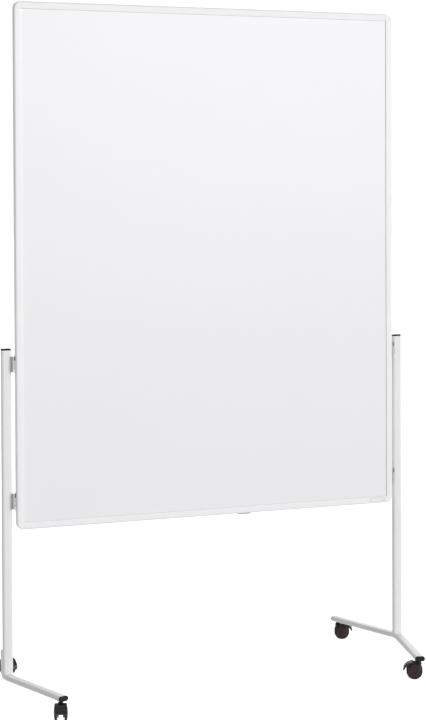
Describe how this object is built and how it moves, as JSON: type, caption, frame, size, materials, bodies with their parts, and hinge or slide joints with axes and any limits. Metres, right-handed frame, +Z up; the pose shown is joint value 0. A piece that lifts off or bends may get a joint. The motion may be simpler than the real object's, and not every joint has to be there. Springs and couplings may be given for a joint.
{
  "type": "mobile whiteboard",
  "caption": "Portrait white presentation board in a slim frame, hooked between side uprights that stand on V-shaped feet with braked swivel casters.",
  "frame": {"origin": "on the floor, under the middle of the writing board", "axes": "+Z up, +X to the reader's right along the board, -Y out of the front writing face"},
  "size_m": [1.278, 0.6126, 1.98],
  "materials": {
    "writing_surface": "smooth white enamel, low gloss",
    "core": "honeycomb board",
    "frame_white": "white powder coat on aluminium",
    "corner_plastic": "moulded white plastic",
    "label": "glossy white plate",
    "grey_plastic": "moulded grey plastic",
    "bracket_metal": "satin grey metal",
    "black_plastic": "moulded black plastic",
    "insert_steel": "machined",
    "tube_white": "white powder coat on steel",
    "wheel": "brown-black polyamide",
    "caster_plastic": "moulded black nylon",
    "steel": "zinc plated"
  },
  "bodies": {
    "root": {"front_sheet": "writing_surface", "back_sheet": "writing_surface", "board_core": "core", "corner_screws": "steel", "label_plate": "label", "bottom_clip": "grey_plastic", "rail_top": "frame_white", "corner_top_left": "corner_plastic", "corner_top_right": "corner_plastic", "rail_bottom": "frame_white", "corner_bottom_left": "corner_plastic", "corner_bottom_right": "corner_plastic", "rail_left": "frame_white", "foot_left": "tube_white", "upright_left": "tube_white", "upright_cap_left": "black_plastic", "upright_insert_left": "insert_steel", "upright_bracket_left_lower": "bracket_metal", "board_hook_left_lower": "bracket_metal", "upright_bracket_left_upper": "bracket_metal", "board_hook_left_upper": "bracket_metal", "leg_plug_front_left": "black_plastic", "leg_plug_rear_left": "black_plastic", "rail_right": "frame_white", "foot_right": "tube_white", "upright_right": "tube_white", "upright_cap_right": "black_plastic", "upright_insert_right": "insert_steel", "upright_bracket_right_lower": "bracket_metal", "board_hook_right_lower": "bracket_metal", "upright_bracket_right_upper": "bracket_metal", "board_hook_right_upper": "bracket_metal", "leg_plug_front_right": "black_plastic", "leg_plug_rear_right": "black_plastic", "hook_screws": "steel", "bracket_screws": "steel", "foot_bolts": "steel", "stem_nuts": "steel", "caster_stems": "steel"},
    "caster_front_left": {"caster_front_left_housing": "caster_plastic", "caster_front_left_axle": "steel"},
    "caster_front_left_wheel_left": {"caster_front_left_wheel_left": "wheel"},
    "caster_front_left_wheel_right": {"caster_front_left_wheel_right": "wheel"},
    "caster_front_left_pedal": {"caster_front_left_brake_pedal": "caster_plastic"},
    "caster_front_right": {"caster_front_right_housing": "caster_plastic", "caster_front_right_axle": "steel"},
    "caster_front_right_wheel_left": {"caster_front_right_wheel_left": "wheel"},
    "caster_front_right_wheel_right": {"caster_front_right_wheel_right": "wheel"},
    "caster_front_right_pedal": {"caster_front_right_brake_pedal": "caster_plastic"},
    "caster_rear_left": {"caster_rear_left_housing": "caster_plastic", "caster_rear_left_axle": "steel"},
    "caster_rear_left_wheel_left": {"caster_rear_left_wheel_left": "wheel"},
    "caster_rear_left_wheel_right": {"caster_rear_left_wheel_right": "wheel"},
    "caster_rear_left_pedal": {"caster_rear_left_brake_pedal": "caster_plastic"},
    "caster_rear_right": {"caster_rear_right_housing": "caster_plastic", "caster_rear_right_axle": "steel"},
    "caster_rear_right_wheel_left": {"caster_rear_right_wheel_left": "wheel"},
    "caster_rear_right_wheel_right": {"caster_rear_right_wheel_right": "wheel"},
    "caster_rear_right_pedal": {"caster_rear_right_brake_pedal": "caster_plastic"}
  },
  "joints": [
    {"name": "caster_front_left_swivel", "type": "hinge", "parent": "root", "child": "caster_front_left", "pos_m": [-0.55322, -0.26017, 0.05], "axis": [0, 0, 1], "continuous": true},
    {"name": "caster_front_left_wheel_left_spin", "type": "hinge", "parent": "caster_front_left", "child": "caster_front_left_wheel_left", "pos_m": [-0.55703, -0.2726, 0.024], "axis": [-0.9563, 0.2924, 0], "continuous": true},
    {"name": "caster_front_left_wheel_right_spin", "type": "hinge", "parent": "caster_front_left", "child": "caster_front_left_wheel_right", "pos_m": [-0.55703, -0.2726, 0.024], "axis": [-0.9563, 0.2924, 0], "continuous": true},
    {"name": "caster_front_left_brake", "type": "hinge", "parent": "caster_front_left", "child": "caster_front_left_pedal", "pos_m": [-0.55703, -0.2726, 0.024], "axis": [0.9563, -0.2924, 0], "range_deg": [0, 14]},
    {"name": "caster_front_right_swivel", "type": "hinge", "parent": "root", "child": "caster_front_right", "pos_m": [0.55322, -0.26017, 0.05], "axis": [0, 0, 1], "continuous": true},
    {"name": "caster_front_right_wheel_left_spin", "type": "hinge", "parent": "caster_front_right", "child": "caster_front_right_wheel_left", "pos_m": [0.54175, -0.25407, 0.024], "axis": [0.4695, 0.8829, 0], "continuous": true},
    {"name": "caster_front_right_wheel_right_spin", "type": "hinge", "parent": "caster_front_right", "child": "caster_front_right_wheel_right", "pos_m": [0.54175, -0.25407, 0.024], "axis": [0.4695, 0.8829, 0], "continuous": true},
    {"name": "caster_front_right_brake", "type": "hinge", "parent": "caster_front_right", "child": "caster_front_right_pedal", "pos_m": [0.54175, -0.25407, 0.024], "axis": [-0.4695, -0.8829, 0], "range_deg": [0, 14]},
    {"name": "caster_rear_left_swivel", "type": "hinge", "parent": "root", "child": "caster_rear_left", "pos_m": [-0.55322, 0.28217, 0.05], "axis": [0, 0, 1], "continuous": true},
    {"name": "caster_rear_left_wheel_left_spin", "type": "hinge", "parent": "caster_rear_left", "child": "caster_rear_left_wheel_left", "pos_m": [-0.55097, 0.26937, 0.024], "axis": [-0.9848, -0.1736, 0], "continuous": true},
    {"name": "caster_rear_left_wheel_right_spin", "type": "hinge", "parent": "caster_rear_left", "child": "caster_rear_left_wheel_right", "pos_m": [-0.55097, 0.26937, 0.024], "axis": [-0.9848, -0.1736, 0], "continuous": true},
    {"name": "caster_rear_left_brake", "type": "hinge", "parent": "caster_rear_left", "child": "caster_rear_left_pedal", "pos_m": [-0.55097, 0.26937, 0.024], "axis": [0.9848, 0.1736, 0], "range_deg": [-14, 0]},
    {"name": "caster_rear_right_swivel", "type": "hinge", "parent": "root", "child": "caster_rear_right", "pos_m": [0.55322, 0.28217, 0.05], "axis": [0, 0, 1], "continuous": true},
    {"name": "caster_rear_right_wheel_left_spin", "type": "hinge", "parent": "caster_rear_right", "child": "caster_rear_right_wheel_left", "pos_m": [0.56491, 0.27647, 0.024], "axis": [-0.4384, -0.8988, 0], "continuous": true},
    {"name": "caster_rear_right_wheel_right_spin", "type": "hinge", "parent": "caster_rear_right", "child": "caster_rear_right_wheel_right", "pos_m": [0.56491, 0.27647, 0.024], "axis": [-0.4384, -0.8988, 0], "continuous": true},
    {"name": "caster_rear_right_brake", "type": "hinge", "parent": "caster_rear_right", "child": "caster_rear_right_pedal", "pos_m": [0.56491, 0.27647, 0.024], "axis": [0.4384, 0.8988, 0], "range_deg": [0, 14]}
  ]
}
